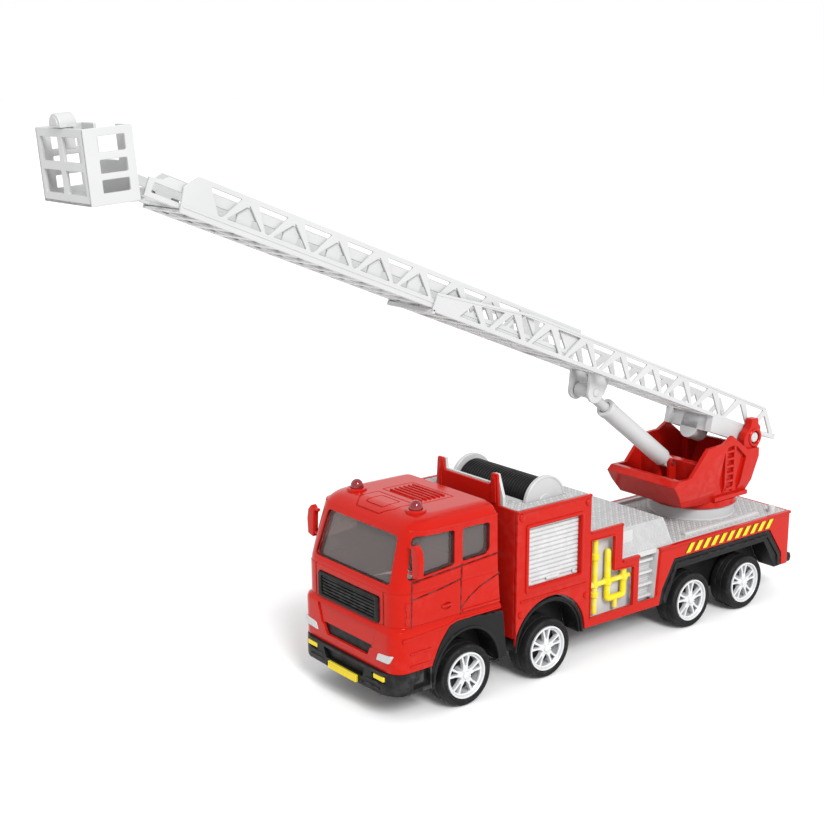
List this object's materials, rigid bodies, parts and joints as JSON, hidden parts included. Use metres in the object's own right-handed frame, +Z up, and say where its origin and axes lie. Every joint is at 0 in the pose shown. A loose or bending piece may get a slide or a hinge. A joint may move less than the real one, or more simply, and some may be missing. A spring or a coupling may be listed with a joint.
{
  "type": "toy fire engine",
  "caption": "Toy fire engine with a cab, rolling wheels, a hose reel and a turntable carrying a pitching, telescoping ladder with a tilting rescue basket.",
  "frame": {"origin": "centre of the footprint of the whole toy at its rest pose, on the ground under the wheels", "axes": "+X forwards, from the tow hook end to the cab; +Y to the vehicle's left; +Z up"},
  "size_m": [0.4238, 0.0872, 0.2732],
  "materials": {
    "red_plastic": "glossy moulded orange-red plastic",
    "white_plastic": "semi-gloss moulded white plastic",
    "black_plastic": "satin black plastic",
    "yellow_plastic": "glossy yellow plastic",
    "smoked_glazing": "dark smoked moulded window insert",
    "beacon_lens": "clear red plastic dome",
    "tyre": "smooth black rubber-like tyre",
    "rim": "silver-white painted plastic rim",
    "steel": "plain steel pin"
  },
  "bodies": {
    "truck": {"chassis": "black_plastic", "rear_bumper": "black_plastic", "front_bumper": "black_plastic", "number_plate": "yellow_plastic", "front_fender_left": "black_plastic", "middle_fender_left": "black_plastic", "rear_fender_left": "black_plastic", "front_fender_right": "black_plastic", "middle_fender_right": "black_plastic", "rear_fender_right": "black_plastic", "cab_shell": "red_plastic", "cab_glazing": "smoked_glazing", "grille": "black_plastic", "beacon_left": "beacon_lens", "mirror_left": "red_plastic", "beacon_right": "beacon_lens", "mirror_right": "red_plastic", "inner_body": "white_plastic", "side_panel_left": "red_plastic", "shutter_left": "white_plastic", "pipework_left": "yellow_plastic", "side_panel_right": "red_plastic", "shutter_right": "white_plastic", "pipework_right": "yellow_plastic", "front_wall": "red_plastic", "rear_wall": "red_plastic"},
    "wheels_1": {"axle_1": "steel", "tyre_left_1": "tyre", "rim_left_1": "rim", "tyre_right_1": "tyre", "rim_right_1": "rim"},
    "wheels_2": {"axle_2": "steel", "tyre_left_2": "tyre", "rim_left_2": "rim", "tyre_right_2": "tyre", "rim_right_2": "rim"},
    "wheels_3": {"axle_3": "steel", "tyre_left_3": "tyre", "rim_left_3": "rim", "tyre_right_3": "tyre", "rim_right_3": "rim"},
    "wheels_4": {"axle_4": "steel", "tyre_left_4": "tyre", "rim_left_4": "rim", "tyre_right_4": "tyre", "rim_right_4": "rim"},
    "hose_reel": {"reel_flanges": "white_plastic", "reel_winding": "black_plastic"},
    "turret": {"turret": "red_plastic", "turret_retainer": "steel", "strut_foot_pin": "steel"},
    "ladder_base": {"ladder_base": "white_plastic", "ladder_trunnion_pin": "white_plastic"},
    "ladder_middle": {"ladder_middle": "white_plastic"},
    "ladder_fly": {"ladder_fly": "white_plastic", "basket_pin": "steel"},
    "basket": {"basket": "white_plastic"},
    "strut_barrel": {"strut_barrel": "white_plastic"},
    "strut_rod": {"strut_rod": "white_plastic"}
  },
  "joints": [
    {"name": "wheels_1_spin", "type": "hinge", "parent": "truck", "child": "wheels_1", "pos_m": [0.03953, 0, 0.015], "axis": [0, 1, 0], "continuous": true},
    {"name": "wheels_2_spin", "type": "hinge", "parent": "truck", "child": "wheels_2", "pos_m": [-0.01247, 0, 0.015], "axis": [0, 1, 0], "continuous": true},
    {"name": "wheels_3_spin", "type": "hinge", "parent": "truck", "child": "wheels_3", "pos_m": [-0.11867, 0, 0.015], "axis": [0, 1, 0], "continuous": true},
    {"name": "wheels_4_spin", "type": "hinge", "parent": "truck", "child": "wheels_4", "pos_m": [-0.16307, 0, 0.015], "axis": [0, 1, 0], "continuous": true},
    {"name": "hose_reel_spin", "type": "hinge", "parent": "truck", "child": "hose_reel", "pos_m": [-0.01907, 0, 0.0859], "axis": [0, 1, 0], "continuous": true},
    {"name": "turret_yaw", "type": "hinge", "parent": "truck", "child": "turret", "pos_m": [-0.16147, 0, 0.0556], "axis": [0, 0, 1], "continuous": true},
    {"name": "ladder_pitch", "type": "hinge", "parent": "turret", "child": "ladder_base", "pos_m": [-0.18597, 0, 0.0911], "axis": [0, -1, 0], "range_deg": [-19, 20]},
    {"name": "middle_slide", "type": "slide", "parent": "ladder_base", "child": "ladder_middle", "axis": [0.9314, 0, 0.3639], "range_m": [-0.115, 0]},
    {"name": "fly_slide", "type": "slide", "parent": "ladder_middle", "child": "ladder_fly", "axis": [0.9314, 0, 0.3639], "range_m": [-0.011, 0.1]},
    {"name": "basket_tilt", "type": "hinge", "parent": "ladder_fly", "child": "basket", "pos_m": [0.18414, 0, 0.2416], "axis": [0, -1, 0], "range_deg": [-25, 30]},
    {"name": "strut_swing", "type": "hinge", "parent": "turret", "child": "strut_barrel", "pos_m": [-0.13847, 0, 0.0805], "axis": [0, -1, 0], "range_deg": [-26, 28]},
    {"name": "strut_extend", "type": "slide", "parent": "strut_barrel", "child": "strut_rod", "axis": [0.8002, 0, 0.5997], "range_m": [-0.012, 0.0125]}
  ],
  "couplings": [
    {"joint": "strut_swing", "follows": "ladder_pitch", "ratio": 1.359},
    {"joint": "strut_extend", "follows": "ladder_pitch", "m_per_rad": 0.03487}
  ]
}
